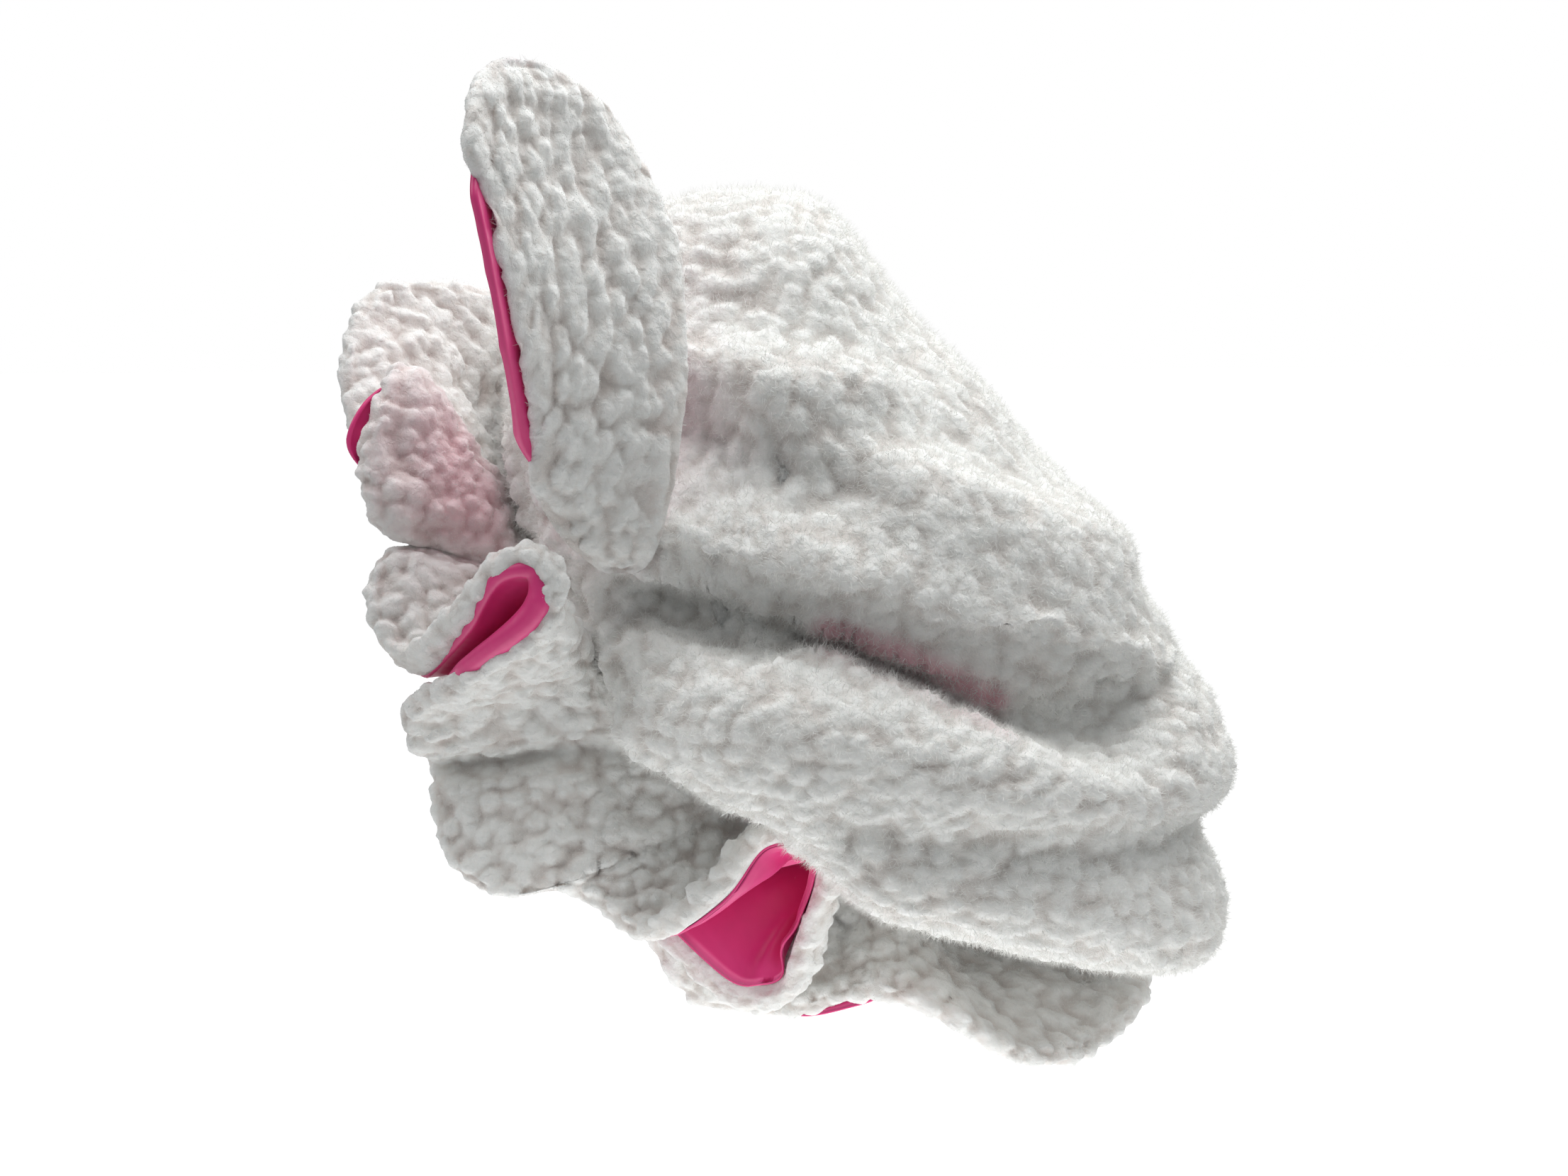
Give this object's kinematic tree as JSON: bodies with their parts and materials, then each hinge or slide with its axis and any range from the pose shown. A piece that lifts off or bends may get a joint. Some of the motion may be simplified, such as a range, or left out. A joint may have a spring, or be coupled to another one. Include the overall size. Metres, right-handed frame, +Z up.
{
  "type": "bear bonnet",
  "caption": "Roomy slouched hair bonnet of sherpa fleece lined with satin, with an elastic band, a wide flared ruffle and upright padded bear ears",
  "frame": {"origin": "middle of the elastic band, which is the opening for the head", "axes": "+Z up as worn, the wearer faces -Y, +X is the wearer's left; the band falls 45 degrees from the forehead at -Y to the nape at +Y"},
  "size_m": [0.3713, 0.4148, 0.4518],
  "materials": {
    "fleece": "clumped sherpa pile, matt",
    "satin": "smooth satin weave, soft sheen",
    "elastic": "gathered satin casing over elastic"
  },
  "bodies": {
    "root": {"crown_front": "fleece", "crown_back": "fleece", "crown_lining": "satin", "ruffle": "fleece", "ruffle_lining": "satin", "elastic_band": "elastic", "ear_left": "fleece", "ear_left_lining": "satin", "ear_right": "fleece", "ear_right_lining": "satin"}
  },
  "joints": []
}
